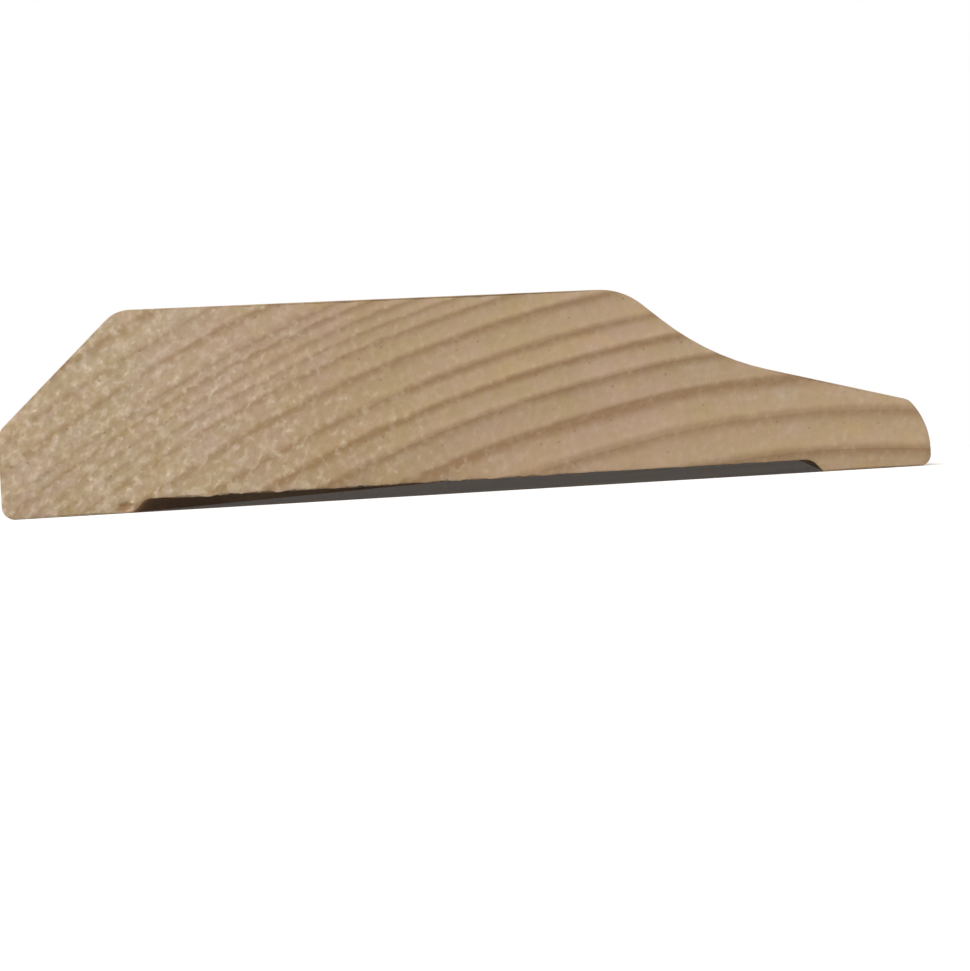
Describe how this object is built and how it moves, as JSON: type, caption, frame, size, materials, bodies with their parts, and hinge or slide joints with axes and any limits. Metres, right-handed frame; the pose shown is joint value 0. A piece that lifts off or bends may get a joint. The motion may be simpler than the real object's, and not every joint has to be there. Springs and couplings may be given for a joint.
{
  "type": "architrave moulding",
  "caption": "Solid pine door architrave leg: ogee face with a broad chamfer on its thick edge, relieved back, mitred head and square foot. Covers the joint between door lining and wall.",
  "frame": {"origin": "centre of the bounding box in plan, on the plane of the back's two feet", "axes": "+X across the width from the thick chamfered edge to the thin nose, +Y along the length from the mitred head to the square foot, +Z from the back to the moulded face"},
  "size_m": [0.069, 2.2, 0.015],
  "materials": {
    "pine": "planed and untreated, with sawn ends"
  },
  "bodies": {
    "root": {"architrave": "pine"}
  },
  "joints": []
}
